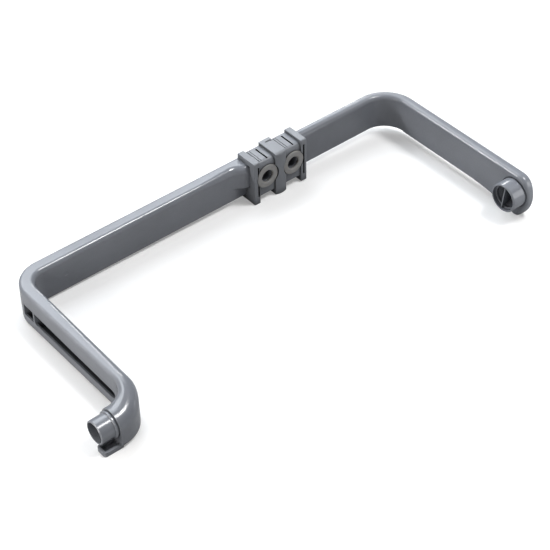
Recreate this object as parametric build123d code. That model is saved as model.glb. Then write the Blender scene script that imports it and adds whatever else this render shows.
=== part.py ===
from build123d import *
from math import atan2, cos, degrees, radians, sin
import os

# Dishwasher wash arm feed tube, lying with the plane of its C level.
# The rail runs along X, both arms reach toward -Y, and Z points up.
# It is drawn from the inner faces of the supply arm (X = 0) and of the rail (Y = 0) and from the
# tube's lower edge (Z = 0), and is saved with its origin in the middle of the supply spigot.

# Run of the tube
rail_length = 500.0         # clear length between the two arms
supply_reach = 206.0        # rail to the axis of the supply spigot
spray_reach = 207.5         # rail to the axis of the spray spigot
supply_corner = 18.5        # inner radius of the corner at the supply arm
spray_corner = 29.0         # inner radius of the corner at the spray arm

# Section of the tube: a water channel over an open stiffening recess
tube_height = 43.0
supply_width = 16.5         # up to the docking block
spray_width = 12.0          # beyond the docking block
wall = 2.3                  # round the water channel
channel_base = 25.0         # underside of the water channel
web = 2.8                   # inner wall beside the recess
flange = 2.6                # floor under the recess
lip_height = 10.5           # upstanding lip on the flange
lip_wall = 2.4
crisp_edge = 5.0            # rounding of the upper inner edge along most of the run
soft_edge = 7.6             # the same rounding beside the docking block
elbow_edge = 12.0           # the same rounding where the elbow starts
back_edge = 4.0             # rounding of the upper outer edge
foot_edge = 1.2             # rounding of the two lower edges
channel_edge = 1.5          # rounding inside the bottom of the water channel
soft_run = 40.0             # length over which the edge softens toward the block
rib = 2.4                   # ribs that close the recess
rib_pitch = 62.0

# Recess in the back of the supply arm, seen as a dark slot
pocket_lead = 5.0           # how far the first pocket reaches back into the corner
pocket_run = 17.0           # length of that pocket, up to the arm's first rib
slot_fall = 4.0             # drop of the slot's upper edge toward the elbow
slot_round = 5.0            # round corners of the slot at the elbow

# Elbow, spigot and lug at the supply end
elbow_across = 40.0         # outer side of the turn, measured toward the spigot
elbow_along = 45.0          # the same, measured along the arm
elbow_lead = 6.0            # straight start of the turn
collar_radius = 15.9        # rounded top of the elbow at its end face
elbow_foot = 5.0            # rounding of its lower outer edge at the end face
collar_run = 2.5            # straight end of the elbow past the turn
neck_radius = 13.3          # groove between the elbow's end face and the ring
neck_run = 1.5
ring_radius = 14.7
ring_run = 2.4
spigot_radius = 13.1
spigot_height = 22.2        # axis above the lower edge
spigot_run = 16.0
spigot_bore = 11.2
lug_width = 14.0            # open box under the spigot
lug_run = 19.8
lug_drop = 1.2              # its floor below the tube
lug_height = 5.4
lug_side = 1.5              # how far it stands in from the elbow's outer side
lug_wall = 2.6
lug_corner = 3.0

# End of the spray arm, which sweeps down into a foot
sweep_start = 135.0         # distance from the rail where the underside starts to drop
end_foot = 11.5             # depth of the foot below the tube
end_reach = 227.6           # rail to the fullest point of the rounded end
end_full = 18.0             # height of that point above the tube's lower edge
end_drop = 13.0             # how far the end draws back at the foot
crown_drop = 10.0           # how far it draws back at the top
end_corner = 16.0           # rounding of the upper corner in side view
chamber_radius = 15.0       # water space behind the spray spigot

# Spray spigot on the inner face of the spray arm
nozzle_height = 19.2        # its axis above the lower edge
nozzle_radius = 17.3
nozzle_run = 17.5
nozzle_wall = 2.2
nozzle_seat = 4.5           # depth of the wide mouth
nozzle_step = 1.8           # ledge inside the mouth
nozzle_land = 3.0           # straight part behind the ledge
nozzle_throat = 8.0
nozzle_rib = 1.4            # thickness of the upright blade
nozzle_set = 1.5            # how far the blade stands back from the mouth
nozzle_tilt = 6.0           # lean of the blade
nozzle_shift = 0.8          # the blade's place off the middle, toward the rail
nozzle_groove = 1.3         # width of the groove round the base
groove_sink = 1.4           # depth of that groove
nozzle_lift = 1.0           # from the arm to the spigot's full width
nozzle_waist = 0.6          # how much narrower the spigot is in the groove

# Manifold that swells out of the rail behind the docking block
manifold_out = 7.0
manifold_base = 13.5        # height of its underside
manifold_slope = 20.0       # length over which it swells
manifold_edge = 3.0         # rounding of its lower edge
outlet_radius = 9.0
outlet_bore = 7.0
outlet_run = 5.0

# Docking block, a saddle that sits over the rail
block_center = 325.3        # along the rail
block_width = 75.5
foot_drop = 7.0             # feet below the tube
plate_rise = 7.0            # plates above the tube
plate_front = 15.5          # in front of the rail
plate_back = 14.5           # behind the rail's inner face
plate_edge = 2.0            # rounding of the plates' upper edges
plate_side = 0.6            # rounding of their side edges
end_plate = 8.0
center_plate = 15.0
center_bulge = 1.5          # curve of the middle plate's front
center_edge = 4.0           # rounding over the top of that front
bay_front = 13.5
bay_back = 13.0
bay_inset = 1.0             # how far the bays stand in from the outer faces of the end plates
bay_rise = 3.5              # top of the bays above the tube
bay_base = 1.0
bay_edge = 5.0              # rounding of the bays' upper front edge
slit = 2.3                  # upright slits in the front of the end plates
slit_depth = 4.0
slit_base = 2.0             # height of their lower ends
slit_length = 41.5
supply_slit = 4.9           # from the supply side of the block to its slit
spray_slit = 3.0            # from the spray side of the block to its slit
groove = 2.2                # cross groove in the top of each bay
groove_depth = 2.5
groove_shift = 2.2          # from the port's axis to the groove
groove_end = 3.0            # solid length left at both ends of the groove
score = 0.8                 # shallow cross lines beside it
score_depth = 0.5
score_pitch = 3.0
score_shift = 2.0           # from the port's axis to the first line
score_count = 3
dimple_length = 8.0         # oval mark in the top of the middle plate
dimple_width = 3.2
dimple_depth = 0.8
dimple_back = 8.4           # its place behind the rail's inner face
dimple_shift = 2.0          # its place off the middle, toward the spray arm
fit = 0.15                  # clearance between parts that are slid together

# Ports
port_pitch = 37.3
port_height = 25.0
seal_radius = 15.0
seal_out = 2.0              # how far the seals stand out of the block
seal_seat = 2.5             # how deep they sit in it
seal_edge = 1.0
port_bore = 7.7
port_flare = 0.9            # chamfer at the mouth of the port

# Small edge breaks and moulding marks
break_fine = 0.5
break_mouth = 0.9
pin_mark_radius = 2.5       # round mark that an ejector pin left on the rail's inner face
pin_mark_depth = 0.2
pin_mark_place = 45.7       # its place along the rail
pin_mark_height = 21.2

# Modelling allowances
over = 1.0                  # how far a cutting shape runs past the face that it opens
round_share = 0.985         # share of a half width that the widest rounding takes

# Places that follow from the sizes above
elbow_y = supply_reach + collar_radius - elbow_along
elbow_start = elbow_y - elbow_lead
end_face = elbow_across + collar_run
block_left = block_center - block_width / 2
block_right = block_center + block_width / 2
manifold_start = block_left - manifold_slope
manifold_end = block_right - wall
port_places = [block_center - port_pitch / 2, block_center + port_pitch / 2]
bay_top = tube_height + bay_rise
plate_top = tube_height + plate_rise
spigot_middle = -end_face - neck_run - ring_run - (spigot_run - break_mouth) / 2


def station(x, y, outward):
    """Plane across the tube: local X points out of the C, local Y points up."""
    a = radians(outward)
    return Plane(origin=(x, y, 0), x_dir=(cos(a), sin(a), 0), z_dir=(sin(a), -cos(a), 0))


def rounded(left, right, low, high, radii):
    """Closed profile with radii in the order upper left, upper right, lower right, lower left."""
    ul, ur, lr, ll = radii
    with BuildLine() as line:
        Line((left, low + ll), (left, high - ul))
        CenterArc((left + ul, high - ul), ul, 180, -90)
        Line((left + ul, high), (right - ur, high))
        CenterArc((right - ur, high - ur), ur, 90, -90)
        Line((right, high - ur), (right, low + lr))
        CenterArc((right - lr, low + lr), lr, 0, -90)
        Line((right - lr, low), (left + ll, low))
        CenterArc((left + ll, low + ll), ll, 270, -90)
    return make_face(line.line)


def outer_radii(inner_edge):
    return (inner_edge, back_edge, foot_edge, foot_edge)


def channel_radii(inner_edge):
    return (inner_edge - wall, back_edge - wall, channel_edge, channel_edge)


def tube_profile(width, inner_edge):
    """Outside of the tube across its run."""
    return rounded(0, width, 0, tube_height, outer_radii(inner_edge))


def channel_profile(width, inner_edge):
    """Water channel inside the tube."""
    return rounded(wall, width - wall, channel_base + wall, tube_height - wall, channel_radii(inner_edge))


def run_of_tube(profile):
    """Both corners, the rail and the supply arm, all made from one profile rule."""
    rail_start = supply_corner
    rail_end = rail_length - spray_corner
    soft_start = manifold_start - soft_run
    first = profile(supply_width, crisp_edge)
    soft = profile(supply_width, soft_edge)
    at_elbow = profile(supply_width, elbow_edge)
    second_soft = profile(spray_width, soft_edge)
    second = profile(spray_width, crisp_edge)
    supply_turn = Axis((supply_corner, -supply_corner, 0), (0, 0, 1))
    spray_turn = Axis((rail_end, -spray_corner, 0), (0, 0, -1))
    return [
        loft([station(0, -supply_corner, 180) * first, station(0, -elbow_start, 180) * at_elbow]),
        revolve(station(rail_start, 0, 90) * first, axis=supply_turn, revolution_arc=90),
        extrude(station(rail_start, 0, 90) * first, soft_start - rail_start),
        loft([station(soft_start, 0, 90) * first, station(manifold_start, 0, 90) * soft]),
        extrude(station(manifold_start, 0, 90) * soft, block_center - manifold_start),
        loft([station(block_center, 0, 90) * second_soft, station(rail_end, 0, 90) * second]),
        revolve(station(rail_end, 0, 90) * second, axis=spray_turn, revolution_arc=90),
    ]


def blend(first, second, share):
    return [a + (b - a) * share for a, b in zip(first, second)]


def elbow(start_box, start_radii, end_box, end_radii):
    """Smooth turn from the flat arm to the spigot; a box is left, right, low and high."""
    sections = [station(0, -elbow_start, 180) * rounded(*start_box, start_radii)]
    for angle in (0, 22.5, 45, 67.5, 90):
        a = radians(angle)
        share = sin(a) ** 2
        heading = 180 - degrees(atan2(elbow_across * sin(a), elbow_along * cos(a)))
        place = station(elbow_across * (cos(a) - 1), -elbow_y - elbow_along * sin(a), heading)
        box = blend(start_box, end_box, share)
        sections.append(place * rounded(*box, blend(start_radii, end_radii, share)))
    sections.append(station(-end_face, -elbow_y - elbow_along, 90) * rounded(*end_box, end_radii))
    return loft(sections)


def elbow_body():
    """Outside of the elbow: it ends round on top and straight down to the floor on its outer side."""
    round_end = round_share * collar_radius
    return elbow((0, supply_width, 0, tube_height), outer_radii(elbow_edge),
                 (0, 2 * collar_radius, 0, spigot_height + collar_radius),
                 (round_end, round_end, round_end, elbow_foot))


def elbow_channel():
    """Water channel through the elbow."""
    inset = collar_radius - spigot_bore
    return elbow((wall, supply_width - wall, channel_base + wall, tube_height - wall),
                 channel_radii(elbow_edge),
                 (inset, inset + 2 * spigot_bore, spigot_height - spigot_bore, spigot_height + spigot_bore),
                 (round_share * spigot_bore,) * 4)


def along_x(x, y, z, radius, length):
    """Cylinder from (x, y, z) along X; a negative length runs toward -X."""
    bottom = (Align.CENTER, Align.CENTER, Align.MIN)
    return Pos(min(x, x + length), y, z) * Rot(0, 90, 0) * Cylinder(radius, abs(length), align=bottom)


def toward_front(x, y, z, radius, length):
    """Cylinder from (x, y, z) toward -Y."""
    bottom = (Align.CENTER, Align.CENTER, Align.MIN)
    return Pos(x, y, z) * Rot(90, 0, 0) * Cylinder(radius, length, align=bottom)


def recess_profile(width, top):
    """Open recess under the water channel, with a trough behind the lip."""
    beyond = width + over
    with BuildLine() as line:
        Polyline((web, flange), (width - lip_wall, flange), (width - lip_wall, lip_height),
                 (beyond, lip_height), (beyond, top), (web, top), close=True)
    return make_face(line.line)


def recess_row(width, start, end, place):
    """Row of equal recess pockets along a straight run, with ribs between them."""
    count = max(1, round((end - start) / rib_pitch))
    length = (end - start - (count - 1) * rib) / count
    profile = recess_profile(width, channel_base)
    return [extrude(place(start + index * (length + rib)) * profile, length) for index in range(count)]


def supply_slot():
    """Long slot in the back of the supply arm; it narrows toward its round end at the elbow."""
    start = supply_corner - pocket_lead
    first_rib = start + pocket_run
    end = elbow_y - rib
    profile = recess_profile(supply_width, channel_base)
    pocket = extrude(station(0, -start, 180) * profile, -pocket_run)
    slot = loft([station(0, -first_rib - rib, 180) * profile,
                 station(0, -end, 180) * recess_profile(supply_width, channel_base - slot_fall)])
    across = slot.edges().filter_by(Axis.X).group_by(Axis.Y)[0]
    return [pocket, fillet([edge for edge in across if edge.center().Z > lip_height - over], slot_round)]


def spray_arm():
    """Spray arm in side view, swept down into a foot, with the tube's own rounded edges."""
    side = Plane(origin=(rail_length, 0, 0), x_dir=(0, -1, 0), z_dir=(-1, 0, 0))
    tip = (end_reach - end_drop, -end_foot)
    crown = (end_reach - crown_drop, tube_height)
    with BuildSketch(side) as outline:
        with BuildLine():
            Line((spray_corner, 0), (sweep_start, 0))
            TangentArc((sweep_start, 0), tip, tangent=(1, 0))
            ThreePointArc(tip, (end_reach, end_full), crown)
            Line(crown, (spray_corner, tube_height))
            Line((spray_corner, tube_height), (spray_corner, 0))
        make_face()
        fillet(outline.vertices().group_by(Axis.Y)[-1].sort_by(Axis.X)[-1], end_corner)
    arm = extrude(outline.sketch, -spray_width)
    for side, radius in ((0, crisp_edge), (-1, back_edge)):
        face = arm.faces().filter_by(Axis.X).sort_by(Axis.X)[side]
        arm = fillet(face.edges().sort_by(Axis.Z)[-1], radius)
    return arm


def manifold():
    """Swelling on the inner face of the rail that feeds both ports."""
    middle = manifold_start + manifold_slope / 2
    full = manifold_start + manifold_slope
    inside = wall + soft_edge
    with BuildSketch() as plan:
        with BuildLine():
            TangentArc((manifold_start, 0), (middle, -manifold_out / 2), tangent=(1, 0))
            TangentArc((full, -manifold_out), (middle, -manifold_out / 2), tangent=(-1, 0))
            Polyline((full, -manifold_out), (manifold_end, -manifold_out), (manifold_end, inside),
                     (manifold_start, inside), (manifold_start, 0))
        make_face()
    swell = extrude(Pos(0, 0, manifold_base) * plan.sketch, tube_height - manifold_base)
    front = swell.faces().sort_by(Axis.Y)[0]
    swell = fillet(front.edges().group_by(Axis.Z)[-1], soft_edge)
    return fillet(swell.edges().filter_by(Axis.X).group_by(Axis.Z)[0].sort_by(Axis.Y)[0], manifold_edge)


def manifold_cavity():
    """Space inside the manifold, open to the water channel above the recess."""
    left = manifold_start + manifold_slope + wall
    right = manifold_end - wall
    front = wall - manifold_out
    low = manifold_base + wall
    high = tube_height - soft_edge
    ahead = Pos(left, front, low) * Box(right - left, -front, high - low, align=Align.MIN)
    opening = Pos(left, front, channel_base + wall) * Box(
        right - left, 2 * wall - front, high - channel_base - wall, align=Align.MIN)
    return ahead + opening


def supply_spigot():
    """Groove, ring and plain spigot on the end face of the elbow."""
    ring_x = -end_face - neck_run
    tip_x = ring_x - ring_run
    neck = along_x(-end_face + wall, -supply_reach, spigot_height, neck_radius, -wall - neck_run)
    ring = along_x(ring_x, -supply_reach, spigot_height, ring_radius, -ring_run)
    plain = along_x(tip_x, -supply_reach, spigot_height, spigot_radius, -spigot_run)
    ring = chamfer(ring.edges().filter_by(GeomType.CIRCLE), break_fine)
    plain = chamfer(plain.edges().sort_by(Axis.X)[0], break_mouth)
    return neck + ring + plain


def lug():
    """Small box under the spigot, open at the top, in line with the elbow's outer side."""
    side = lug_side - supply_reach - collar_radius
    box = Pos(-end_face - lug_run, side, -lug_drop) * Box(
        lug_run + wall, lug_width, lug_height, align=Align.MIN)
    box = fillet(box.edges().filter_by(Axis.Z).group_by(Axis.X)[0], lug_corner)
    inside = Pos(-end_face - lug_run + lug_wall, side + lug_wall, lug_wall / 2 - lug_drop) * Box(
        lug_run - lug_wall, lug_width - 2 * lug_wall, lug_height, align=Align.MIN)
    return box - inside


def nozzle():
    """Wide short spigot for the spray arm, on a slightly narrower base that stands in its groove."""
    root_x = rail_length + groove_sink + wall / 2
    base_x = rail_length - nozzle_lift
    base = along_x(root_x, -spray_reach, nozzle_height, nozzle_radius - nozzle_waist, base_x - root_x)
    spigot = along_x(base_x, -spray_reach, nozzle_height, nozzle_radius, nozzle_lift - nozzle_run)
    spigot = chamfer(spigot.edges().sort_by(Axis.X)[0], break_mouth)
    return base + spigot


def nozzle_bore():
    """Stepped mouth, funnel and throat, as one turned shape."""
    mouth = nozzle_radius - nozzle_wall
    ledge = mouth - nozzle_step
    funnel = nozzle_seat + nozzle_land
    inner_end = nozzle_run + 2 * wall
    with BuildSketch() as half:
        with BuildLine():
            Polyline((0, 0), (0, mouth), (nozzle_seat, mouth), (nozzle_seat, ledge), (funnel, ledge),
                     (nozzle_run, nozzle_throat), (inner_end, nozzle_throat), (inner_end, 0), close=True)
        make_face()
    return Pos(rail_length - nozzle_run, -spray_reach, nozzle_height) * revolve(half.sketch, axis=Axis.X)


def nozzle_blade():
    """Thin upright blade across the mouth."""
    height = 2 * (nozzle_radius - nozzle_wall / 2)
    front = rail_length - nozzle_run + nozzle_set
    blade = Box(rail_length - front, nozzle_rib, height, align=(Align.MIN, Align.CENTER, Align.CENTER))
    return Pos(front, nozzle_shift - spray_reach, nozzle_height) * Rot(nozzle_tilt, 0, 0) * blade


def feed_tube():
    body = Part() + run_of_tube(tube_profile) + elbow_body() + spray_arm() + manifold()
    body += supply_spigot() + lug()
    body -= along_x(rail_length - nozzle_run, -spray_reach, nozzle_height, nozzle_radius + nozzle_groove,
                    nozzle_run + groove_sink)
    body += nozzle()
    for x in port_places:
        outlet = toward_front(x, -manifold_out / 2, port_height, outlet_radius, outlet_run + manifold_out / 2)
        body += chamfer(outlet.edges().sort_by(Axis.Y)[0], break_fine)

    cavity = Part() + run_of_tube(channel_profile) + elbow_channel() + manifold_cavity()
    cavity += extrude(station(rail_length, -spray_corner, 0) * channel_profile(spray_width, crisp_edge),
                      spray_reach - spray_corner)
    cavity += along_x(rail_length + wall, -spray_reach, nozzle_height, chamber_radius, spray_width - 2 * wall)
    cavity += along_x(-end_face + break_fine, -supply_reach, spigot_height, spigot_bore, -2 * spigot_run)
    for x in port_places:
        cavity += toward_front(x, wall - manifold_out, port_height, outlet_bore, outlet_run + 2 * wall)
    body -= cavity + nozzle_bore()
    body += nozzle_blade()

    body -= Part() + supply_slot()
    body -= Part() + recess_row(supply_width, supply_corner + rib, block_center - rib,
                                lambda x: station(x, 0, 90))
    body -= Part() + recess_row(spray_width, block_center + rib, rail_length - spray_corner - rib,
                                lambda x: station(x, 0, 90))
    body -= Part() + recess_row(spray_width, spray_corner + rib, spray_reach - nozzle_radius - rib,
                                lambda y: station(rail_length, -y, 0))
    return body - toward_front(pin_mark_place, pin_mark_depth, pin_mark_height, pin_mark_radius, over)


def saddle_section(front, back, low, high):
    """Section of the docking block: it hooks over the rail and stands in front of it."""
    ahead = -manifold_out - fit
    shoulder = manifold_base - fit
    roof = tube_height + fit
    with BuildSketch() as shape:
        with BuildLine():
            Polyline((-front, low), (-fit, low), (-fit, shoulder), (ahead, shoulder), (ahead, roof),
                     (back, roof), (back, high), (-front, high), close=True)
        make_face()
    return shape.sketch


def docking_block():
    bay_section = saddle_section(bay_front, bay_back, bay_base, bay_top)
    bays = extrude(station(block_left + bay_inset, 0, 90) * bay_section, block_width - 2 * bay_inset)
    body = fillet(bays.edges().filter_by(Axis.X).group_by(Axis.Z)[-1].sort_by(Axis.Y)[0], bay_edge)
    for start in (block_left, block_right - end_plate):
        plate = extrude(station(start, 0, 90) * plate_section(plate_front), end_plate)
        plate = fillet(plate.edges().filter_by(Axis.X).group_by(Axis.Z)[-1], plate_edge)
        body += fillet(plate.edges().filter_by(Axis.Z).group_by(Axis.Y)[0], plate_side)
    body += middle_plate()

    for x in port_places:
        body -= toward_front(x, -bay_front + seal_seat, port_height, seal_radius + fit, plate_front)
        body -= toward_front(x, 0, port_height, outlet_radius + fit, plate_front)
        body -= Pos(x + groove_shift, -bay_front + groove_end, bay_top - groove_depth) * Box(
            groove, bay_front + bay_back - 2 * groove_end, plate_rise, align=Align.MIN)
        for index in range(score_count):
            line_x = x - score_shift - (index + 1) * score_pitch
            body -= Pos(line_x, -bay_front - over, bay_top - score_depth) * Box(
                score, bay_front + bay_back + 2 * over, plate_rise, align=Align.MIN)
    for x in (block_left + supply_slit, block_right - spray_slit - slit):
        body -= Pos(x, -plate_front - over, slit_base) * Box(
            slit, slit_depth + over, slit_length, align=Align.MIN)
    return body


def plate_section(front):
    """Section of a plate: the saddle, with a foot that also reaches back under the rail."""
    foot_y = -(foot_drop + fit) / 2
    foot = Pos((plate_back - front) / 2, foot_y) * Rectangle(plate_back + front, foot_drop - fit)
    return saddle_section(front, plate_back, -foot_drop, plate_top) + foot


def middle_plate():
    """Plate between the bays, with a front that curves sideways and rolls over at the top."""
    left = block_center - center_plate / 2
    right = block_center + center_plate / 2
    reach = plate_front + center_bulge
    slab = extrude(station(left, 0, 90) * plate_section(reach), center_plate)
    upper = slab.edges().filter_by(Axis.X).group_by(Axis.Z)[-1].sort_by(Axis.Y)
    slab = fillet(upper[0], center_edge)
    with BuildSketch() as plan:
        with BuildLine():
            ThreePointArc((left, -plate_front), (block_center, -reach), (right, -plate_front))
            Polyline((right, -plate_front), (right, plate_back), (left, plate_back), (left, -plate_front))
        make_face()
    slab &= extrude(Pos(0, 0, -foot_drop) * plan.sketch, foot_drop + plate_top)
    dimple = Pos(block_center + dimple_shift, dimple_back, plate_top - dimple_depth) * SlotOverall(
        dimple_length, dimple_width)
    return slab - extrude(dimple, plate_rise)


def port_seal(x):
    """Flat rubber ring that closes on the basket's spray arm pipe."""
    back = -bay_front + seal_seat
    front = -bay_front - seal_out
    outlet_tip = -manifold_out - outlet_run - fit
    around = outlet_radius + fit
    with BuildSketch() as half:
        with BuildLine():
            Polyline((around, back), (seal_radius, back), (seal_radius, front + seal_edge),
                     (seal_radius - seal_edge, front), (port_bore + port_flare, front),
                     (port_bore, front + port_flare), (port_bore, outlet_tip), (around, outlet_tip),
                     close=True)
        make_face()
    return Pos(x, 0, port_height) * revolve(half.sketch, axis=Axis.Y)


os.makedirs("parts", exist_ok=True)
nodes = {"feed_tube": feed_tube(), "docking_block": docking_block(),
         "port_seal_supply_side": port_seal(port_places[0]),
         "port_seal_spray_side": port_seal(port_places[1])}
to_origin = Pos(-spigot_middle, supply_reach, -spigot_height)
for name, shape in nodes.items():
    export_step(to_origin * shape, f"parts/{name}.step")
    print(name, round(shape.volume), shape.is_valid, len(shape.solids()))
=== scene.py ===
# %% [markdown]
# # Dishwasher wash arm feed tube
#
# On the real object this is one long hollow moulding in glossy silver-grey plastic, bent into a
# flat C. A satin docking block hooks over its rail, and two pale rubber rings sit in that block.
# The solids already have the right shapes, so this lesson is about what makes them look real:
# the finish of each plastic, small soft edges, the floor they rest on, the light and the camera.
# Everything stays in metres and in the frame of the solids.

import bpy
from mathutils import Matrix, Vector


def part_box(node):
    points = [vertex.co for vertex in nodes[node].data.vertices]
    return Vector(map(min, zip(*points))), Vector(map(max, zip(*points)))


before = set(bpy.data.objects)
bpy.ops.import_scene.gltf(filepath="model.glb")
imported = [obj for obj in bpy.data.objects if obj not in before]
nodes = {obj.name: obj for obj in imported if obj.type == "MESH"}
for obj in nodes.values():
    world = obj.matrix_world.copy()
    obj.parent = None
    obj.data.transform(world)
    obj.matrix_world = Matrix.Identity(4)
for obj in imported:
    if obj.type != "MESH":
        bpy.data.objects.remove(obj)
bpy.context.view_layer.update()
print("solids:", ", ".join(sorted(nodes)))

# %% [markdown]
# Reading them, and not typing them again, keeps the floor and the large lamps right when the
# part changes.

# %% Measure the pieces that the scene is built around
import math

import bpy
from mathutils import Matrix, Vector

MM = 0.001
tube_low, tube_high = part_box("feed_tube")
block_low, block_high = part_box("docking_block")
middle = (Vector(tube_low) + Vector(tube_high)) / 2
print("tube is %.1f mm long" % ((tube_high[0] - tube_low[0]) / MM))
print("its middle is at", tuple(round(v, 3) for v in middle))

# %% [markdown]
# ## Helpers for node materials
#
# A finish is a small network of nodes. Written out by hand, each node takes three lines, and the
# idea gets lost. Two helpers keep it readable: one adds a node and sets its values, the other
# joins a socket of one node to a socket of the next.

# %% Two helpers
def add_node(tree, kind, **values):
    """A node of that kind; its settings are given by name and its inputs as a dictionary."""
    node = tree.nodes.new(kind)
    for name, value in values.pop("inputs", {}).items():
        node.inputs[name].default_value = value
    for name, value in values.items():
        setattr(node, name, value)
    return node


def join(tree, source, out, target, into):
    """A link from one node's output to another node's input, each by name or by number."""
    tree.links.new(source.outputs[out], target.inputs[into])


print("helpers ready")

# %% [markdown]
# ## What the eye reads as moulded plastic
#
# A moulding isn't one flat colour. Melt that flowed at different speeds leaves faint clouds, the
# steel mould leaves a very slight waviness that bends reflections and a fine grain, handling
# leaves patches that are a little duller, and sharp edges are rubbed paler; that paler edge colour
# is also painted highlight. Image textures could carry all that, but they need unwrapping and
# stretch over a part this long. Noise that is read from the place in space needs neither, so
# clouds, waviness, grain and dull patches are each a noise at its own scale.
#
# Small edges are never razor sharp either. The Bevel node rounds them in the shading only, which
# is enough for an edge break of a few tenths of a millimetre. The angle between that rounded
# normal and the true one also tells where an edge is, and so where it is worn and gets its
# painted highlight.
#
# Light hardly reaches the bottom of a deep bore. The Ambient Occlusion node measures how open a
# place is. Where it is closed in, painted shade makes the plastic darker and its reflection
# weaker.

# %% The plastic finish as one function
SAMPLES = 6                             # rays that feel for an edge or a hollow
NOISE_LOW, NOISE_HIGH = 0.3, 0.7        # most of a noise lies between these
ON_FACE, ON_EDGE = 0.995, 0.80          # how well the rounded and true normals agree there
# The worn edge colour below also serves as painted highlight.
MOST_WEAR_AND_HIGHLIGHT = 0.55                        # share of the worn colour on the sharpest edge
USUAL_MIRROR = 0.5                      # what the shader's reflection is set to by default
SHARE, FIRST, SECOND, MIXED = 0, 6, 7, 2    # sockets of a Mix node that mixes colours


def moulded_plastic(name, colour, edge_wear_and_highlight, gloss, cloud, wave, grain, edge, cavity_shade):
    """A plastic's material and its shader. Each size, depth, reach and edge is in millimetres."""
    finish = bpy.data.materials.new(name)
    finish.use_nodes = True
    tree = finish.node_tree
    shader = next(n for n in tree.nodes if n.type == "BSDF_PRINCIPLED")
    place = add_node(tree, "ShaderNodeTexCoord")

    def noise(size, detail, rough=0.55):
        texture = add_node(tree, "ShaderNodeTexNoise", inputs={
            "Scale": 1 / (size * MM), "Detail": detail, "Roughness": rough})
        join(tree, place, "Object", texture, "Vector")
        return texture

    def spread(source, low, high):
        fit = add_node(tree, "ShaderNodeMapRange", inputs={
            "From Min": NOISE_LOW, "From Max": NOISE_HIGH, "To Min": low, "To Max": high})
        join(tree, source, "Fac", fit, "Value")
        return fit

    rounded = add_node(tree, "ShaderNodeBevel", samples=SAMPLES, inputs={"Radius": edge * MM})
    true_normal = add_node(tree, "ShaderNodeNewGeometry")
    turn = add_node(tree, "ShaderNodeVectorMath", operation="DOT_PRODUCT")
    join(tree, rounded, "Normal", turn, 0)
    join(tree, true_normal, "Normal", turn, 1)
    at_edge = add_node(tree, "ShaderNodeMapRange", inputs={
        "From Min": ON_FACE, "From Max": ON_EDGE, "To Min": 0.0, "To Max": MOST_WEAR_AND_HIGHLIGHT})
    join(tree, turn, "Value", at_edge, "Value")

    clouds = spread(noise(cloud["size"], detail=4.0), 1 - cloud["spread"], 1 + cloud["spread"])
    specks = spread(noise(grain["size"], detail=2.0), 1 - grain["spread"], 1 + grain["spread"])
    both = add_node(tree, "ShaderNodeMath", operation="MULTIPLY")
    join(tree, clouds, "Result", both, 0)
    join(tree, specks, "Result", both, 1)

    # Painted shade: closed-in hollows get a darker colour and a weaker reflection.
    openness = add_node(tree, "ShaderNodeAmbientOcclusion", samples=SAMPLES, inputs={
        "Distance": cavity_shade["reach"] * MM})
    depth = add_node(tree, "ShaderNodeMapRange", inputs={
        "From Min": cavity_shade["closed"], "From Max": cavity_shade["open"],
        "To Min": cavity_shade["dark"], "To Max": 1.0})
    join(tree, openness, "AO", depth, "Value")
    mottle_and_painted_shade = add_node(tree, "ShaderNodeMath", operation="MULTIPLY")
    join(tree, both, "Value", mottle_and_painted_shade, 0)
    join(tree, depth, "Result", mottle_and_painted_shade, 1)
    shade_dimmed_mirror = add_node(tree, "ShaderNodeMath", operation="MULTIPLY", inputs={1: USUAL_MIRROR})
    join(tree, depth, "Result", shade_dimmed_mirror, 0)
    join(tree, shade_dimmed_mirror, "Value", shader, "Specular IOR Level")

    tone = add_node(tree, "ShaderNodeVectorMath", operation="SCALE", inputs={0: colour})
    join(tree, mottle_and_painted_shade, "Value", tone, "Scale")
    # Edge wear and painted highlight: edges are mixed towards a paler colour.
    wear_and_highlight = add_node(tree, "ShaderNodeMix", data_type="RGBA", inputs={SECOND: (*edge_wear_and_highlight, 1)})
    join(tree, at_edge, "Result", wear_and_highlight, SHARE)
    join(tree, tone, "Vector", wear_and_highlight, FIRST)
    join(tree, wear_and_highlight, MIXED, shader, "Base Color")

    dull = spread(noise(gloss["size"], detail=5.0, rough=0.65), gloss["low"], gloss["high"])
    join(tree, dull, "Result", shader, "Roughness")

    surface = rounded
    for relief, detail in ((wave, 1.0), (grain, 2.0)):
        bump = add_node(tree, "ShaderNodeBump", inputs={
            "Strength": 1.0, "Distance": relief["depth"] * MM})
        join(tree, noise(relief["size"], detail), "Fac", bump, "Height")
        join(tree, surface, "Normal", bump, "Normal")
        surface = bump
    join(tree, surface, "Normal", shader, "Normal")
    return finish, shader


print("finish function ready")

# %% [markdown]
# ## The tube's glossy silver-grey
#
# The tube is the shiniest piece: its reflections have crisp edges, but its colour is a mid grey
# with a touch of blue. Metallic paint would be one way to get silver. The real one is plastic
# coloured through, so the shader stays a plain dielectric and the gloss does the work.

# %% Finish of the tube
tube_finish, tube_shader = moulded_plastic(
    "silver_grey_gloss", colour=(0.185, 0.196, 0.220), edge_wear_and_highlight=(0.26, 0.27, 0.29),
    gloss={"size": 60, "low": 0.17, "high": 0.25},
    cloud={"size": 45, "spread": 0.06},
    wave={"size": 24, "depth": 0.018},
    grain={"size": 0.9, "depth": 0.0012, "spread": 0.035},
    edge=0.45,
    cavity_shade={"reach": 40, "closed": 0.12, "open": 0.30, "dark": 0.30})
tube_shader.inputs["IOR"].default_value = 1.55
print("tube finish:", len(tube_finish.node_tree.nodes), "nodes")

# %% [markdown]
# ## The docking block's satin grey
#
# The block comes out of an eroded mould, so it scatters light: the same grey, a much wider
# highlight and a visible fine grain.

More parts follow.
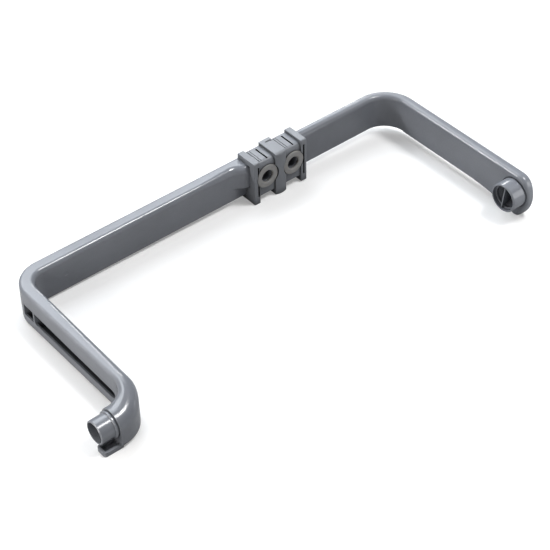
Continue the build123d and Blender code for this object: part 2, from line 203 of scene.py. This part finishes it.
# %% Finish of the block
# Its paler edge colour is wear together with painted highlight for the bright lines along its
# edges.
block_finish, block_shader = moulded_plastic(
    "satin_grey", colour=(0.178, 0.188, 0.208), edge_wear_and_highlight=(0.36, 0.37, 0.39),
    gloss={"size": 25, "low": 0.29, "high": 0.39},
    cloud={"size": 20, "spread": 0.06},
    wave={"size": 6, "depth": 0.01},
    grain={"size": 0.5, "depth": 0.006, "spread": 0.06},
    edge=0.6,
    cavity_shade={"reach": 16, "closed": 0.25, "open": 0.80, "dark": 0.04})
block_shader.inputs["IOR"].default_value = 1.49
print("block finish:", len(block_finish.node_tree.nodes), "nodes")

# %% [markdown]
# ## The pale rubber of the rings
#
# Silicone rubber is soft to the eye as well: wide dull highlights, a little light that enters and
# comes out again, and a powdery grain. Subsurface scattering with a short path gives that glow
# without making the ring look like wax.

# %% Finish of the rings
ring_finish, ring_shader = moulded_plastic(
    "pale_rubber", colour=(0.27, 0.267, 0.263), edge_wear_and_highlight=(0.44, 0.435, 0.43),
    gloss={"size": 8, "low": 0.36, "high": 0.48},
    cloud={"size": 7, "spread": 0.07},
    wave={"size": 5, "depth": 0.01},
    grain={"size": 0.35, "depth": 0.006, "spread": 0.07},
    edge=0.5,
    cavity_shade={"reach": 14, "closed": 0.45, "open": 0.85, "dark": 0.04})
ring_shader.inputs["IOR"].default_value = 1.42
ring_shader.inputs["Subsurface Weight"].default_value = 0.15
ring_shader.inputs["Subsurface Radius"].default_value = (1.0, 0.7, 0.5)
ring_shader.inputs["Subsurface Scale"].default_value = 0.8 * MM
print("ring finish:", len(ring_finish.node_tree.nodes), "nodes")

# %% [markdown]
# ## Dress the solids
#
# A solid's object keeps its mesh and its place. Only its material slots are filled anew.

# %% Give each solid its finish
finishes = {"feed_tube": tube_finish, "docking_block": block_finish,
            "port_seal_supply_side": ring_finish, "port_seal_spray_side": ring_finish}
for name, finish in finishes.items():
    mesh = nodes[name].data
    mesh.materials.clear()
    mesh.materials.append(finish)
    print(name, "wears", finish.name, "on", len(mesh.polygons), "faces")

# %% [markdown]
# ## The floor
#
# The part touches the floor in three places: the lug under the supply spigot, the foot of the
# spray arm and the feet of the block. Those three aren't quite level, so a level floor would
# leave two of them in the air and spoil the contact shadows. The floor is laid through the three
# lowest points instead, which tips it a little.

# %% Find the three resting points
def lowest_point(node, x_range, y_range):
    """The lowest corner of a node's mesh, looked for in one patch of the view from above."""
    inside = [v.co for v in nodes[node].data.vertices
              if x_range[0] < v.co.x < x_range[1] and y_range[0] < v.co.y < y_range[1]]
    return min(inside, key=lambda p: p.z).copy()


end_strip = 20 * MM         # the lug and the foot lie this near to the tube's two ends
lug_strip = 30 * MM         # and this near to its front
foot_strip = 50 * MM
feet_strip = 2 * MM         # the block's feet lie this near to its back
margin = 1 * MM
front = tube_low[1]
back = block_high[1]
at_lug = lowest_point(
    "feed_tube", (tube_low[0], tube_low[0] + end_strip), (front, front + lug_strip))
at_foot = lowest_point(
    "feed_tube", (tube_high[0] - end_strip, tube_high[0]), (front, front + foot_strip))
at_block = lowest_point(
    "docking_block", (block_low[0], block_high[0]), (back - feet_strip, back + margin))
up = (at_foot - at_lug).cross(at_block - at_lug).normalized()
up = up if up.z > 0 else -up
print("rests at", [tuple(round(v / MM, 1) for v in p) for p in (at_lug, at_foot, at_block)])
print("floor tips by %.2f degrees" % math.degrees(up.angle(Vector((0, 0, 1)))))

# %% Lay the floor
floor_reach = 6.0
corners = [(-floor_reach, -floor_reach, 0), (floor_reach, -floor_reach, 0),
           (floor_reach, floor_reach, 0), (-floor_reach, floor_reach, 0)]
floor_mesh = bpy.data.meshes.new("floor")
floor_mesh.from_pydata(corners, [], [(0, 1, 2, 3)])
floor = bpy.data.objects.new("floor", floor_mesh)
bpy.context.scene.collection.objects.link(floor)
below = Vector((middle.x, middle.y, 0))
centre = below - up * (below - at_lug).dot(up)
floor.matrix_world = Matrix.Translation(centre) @ up.to_track_quat("Z", "Y").to_matrix().to_4x4()
print("floor is", 2 * floor_reach, "m across")

# %% [markdown]
# The floor is one large smooth sheet. The photograph shows it as clean white with soft shadows.
# Seen by the camera it is white; for the light that bounces up to the part it is a mid grey, as
# the floor of a studio with dark surroundings would be, so that the sides of the tube stay dark.
# The Light Path node tells the two apart. The surroundings need the same choice further down, so
# it is a helper of its own.

# %% Finish of the floor
def split_rays(tree, seen, met, output):
    """The camera sees the first shader, and every other ray meets the second."""
    rays = add_node(tree, "ShaderNodeLightPath")
    pick = add_node(tree, "ShaderNodeMixShader")
    join(tree, rays, "Is Camera Ray", pick, "Fac")
    join(tree, met, 0, pick, 1)
    join(tree, seen, 0, pick, 2)
    join(tree, pick, "Shader", output, "Surface")


def grey(level):
    """An opaque grey of that level."""
    return (level, level, level, 1)


floor_white = 0.71      # what the camera sees
floor_glow = 0.25       # lifts that white to the photograph's
floor_bounce = 0.38     # what the light meets
floor_finish = bpy.data.materials.new("studio_floor")
floor_finish.use_nodes = True
floor_tree = floor_finish.node_tree
floor_tree.nodes.clear()
floor_output = add_node(floor_tree, "ShaderNodeOutputMaterial")
shown = add_node(floor_tree, "ShaderNodeBsdfDiffuse", inputs={"Color": grey(floor_white)})
lift = add_node(floor_tree, "ShaderNodeEmission", inputs={"Color": grey(1), "Strength": floor_glow})
bright = add_node(floor_tree, "ShaderNodeAddShader")
bounce = add_node(floor_tree, "ShaderNodeBsdfDiffuse", inputs={"Color": grey(floor_bounce)})
join(floor_tree, shown, "BSDF", bright, 0)
join(floor_tree, lift, "Emission", bright, 1)
split_rays(floor_tree, bright, bounce, floor_output)
floor_mesh.materials.append(floor_finish)
print("floor finish:", len(floor_tree.nodes), "nodes")

# %% [markdown]
# ## Light
#
# On a glossy part each highlight tells where a lamp stood: turn the line of sight over about the
# surface, as a mirror would, and it points at the lamp. Read that way, the photograph asks for
# these. A bright one high above draws the crisp line along the rail and the spots on the elbow
# and the spigot. Two soft bluish ones behind it lie where the flat tops mirror them: the nearer
# one makes the supply arm paler, the other stops short of the spray arm, whose top stays darker.
# A thin lamp on either side draws the fine lines along the inner edges of the two arms. The left
# one has a narrow beam, so that it leaves the supply arm alone. Two small cards fill the outer
# side of the supply arm and the side of the spray spigot.
# All are area lamps, because only a lamp with a size shows up as a shape in gloss.

# %% Hang the lamps
def area_lamp(name, direction, distance, size, power, along, colour=(1, 1, 1), aim=middle):
    """A rectangular lamp that looks at aim; its first size runs along the given direction."""
    lamp = bpy.data.lights.new(name, "AREA")
    lamp.shape = "RECTANGLE"
    lamp.size, lamp.size_y = size
    lamp.energy = power
    lamp.color = colour
    thing = bpy.data.objects.new(name, lamp)
    way = Vector(direction).normalized()
    side = (Vector(along) - way * way.dot(Vector(along))).normalized()
    turn = Matrix((side, way.cross(side), way)).transposed().to_4x4()
    thing.matrix_world = Matrix.Translation(aim + way * distance) @ turn
    bpy.context.scene.collection.objects.link(thing)
    print(name, "shines", power, "W from", tuple(round(v, 2) for v in aim + way * distance))
    return thing


ALONG_X, ALONG_Y = (1, 0, 0), (0, 1, 0)
COOL, WARM = (0.90, 0.95, 1.0), (1.0, 0.97, 0.93)
supply_arm = Vector((0.04, 0.09, 0.0))
spray_arm = Vector((0.60, 0.09, 0.0))
spray_spigot = Vector((0.537, -0.0015, -0.003))
narrow_beam = math.radians(26)
area_lamp("high_lamp", (0.357, -0.25, 0.90), 4.0, (0.9, 1.0), 98, ALONG_X)
area_lamp("back_softbox", (0.04, 0.66, 0.75), 2.2, (1.1, 1.7), 33, ALONG_X, COOL)
area_lamp("side_softbox", (0.46, 0.63, 0.63), 2.2, (0.7, 1.0), 9, ALONG_X, COOL)
left_strip = area_lamp(
    "left_strip", (-0.733, 0.533, 0.445), 2.46, (0.3, 0.4), 0.46, ALONG_Y, aim=spray_arm)
left_strip.data.spread = narrow_beam
area_lamp("right_strip", (0.635, 0.667, 0.393), 2.2, (0.4, 0.2), 6, ALONG_Y)
area_lamp("left_card", (-1.0, -0.1, 0.35), 0.4, (0.4, 0.2), 1.5, ALONG_Y, WARM, supply_arm)
area_lamp("spray_card", (0.45, -0.82, 0.35), 0.2, (0.12, 0.12), 0.15, ALONG_X, aim=spray_spigot)

# %% [markdown]
# The surroundings fill the shadows. They are darker low down than overhead, as in a room whose
# lamps hang above the table, and plain white where the camera looks past the floor.

# %% The surroundings
low_fill, high_fill = 0.10, 0.30    # their strength at the horizon and overhead
overhead = 0.9                      # from this height on a unit ball they are at full strength
world = bpy.data.worlds.new("surroundings")
bpy.context.scene.world = world
world.use_nodes = True
world_tree = world.node_tree
world_tree.nodes.clear()
world_output = add_node(world_tree, "ShaderNodeOutputWorld")
white = add_node(world_tree, "ShaderNodeBackground", inputs={"Color": grey(1), "Strength": 1.0})
fill = add_node(world_tree, "ShaderNodeBackground")
where = add_node(world_tree, "ShaderNodeTexCoord")
height = add_node(world_tree, "ShaderNodeSeparateXYZ")
strength = add_node(world_tree, "ShaderNodeMapRange", inputs={
    "From Min": 0.0, "From Max": overhead, "To Min": low_fill, "To Max": high_fill})
join(world_tree, where, "Generated", height, "Vector")
join(world_tree, height, "Z", strength, "Value")
join(world_tree, strength, "Result", fill, "Strength")
split_rays(world_tree, white, fill, world_output)
print("surroundings:", len(world_tree.nodes), "nodes")

# %% [markdown]
# ## Camera
#
# The photograph was taken from the front left, about forty degrees above the part, with a long
# lens that keeps the perspective mild. The numbers come from fitting a pinhole camera to corners
# that can be told apart in the photograph. The small shift only slides the picture, as when a
# print is cropped.

# %% Place the camera
photo_width = 550                           # pixels
focal_pixels = 1657.51
shift_pixels = (7.688, -0.981)
sensor = 36.0                               # mm
azimuth, elevation, roll = -0.67175, 0.73288, -0.022993
target = Vector((0.274132, 0.087002, -0.0222))
distance = 1.763525
level = math.cos(elevation)
away = Vector((math.sin(azimuth) * level, -math.cos(azimuth) * level, math.sin(elevation)))
across = Vector((0, 0, 1)).cross(away).normalized()
upright = away.cross(across)
right = math.cos(roll) * across + math.sin(roll) * upright
top = math.cos(roll) * upright - math.sin(roll) * across
lens = bpy.data.cameras.new("camera")
lens.sensor_fit = "HORIZONTAL"
lens.sensor_width = sensor
lens.lens = focal_pixels / photo_width * sensor
lens.shift_x = shift_pixels[0] / photo_width
lens.shift_y = shift_pixels[1] / photo_width
lens.clip_start, lens.clip_end = 0.05, 50
camera = bpy.data.objects.new("camera", lens)
turned = Matrix((right, top, away)).transposed().to_4x4()
camera.matrix_world = Matrix.Translation(target + away * distance) @ turned
bpy.context.scene.collection.objects.link(camera)
bpy.context.scene.camera = camera
bpy.context.scene.view_settings.view_transform = "Standard"
print("camera at", tuple(round(v, 3) for v in camera.location), "with a %.0f mm lens" % lens.lens)
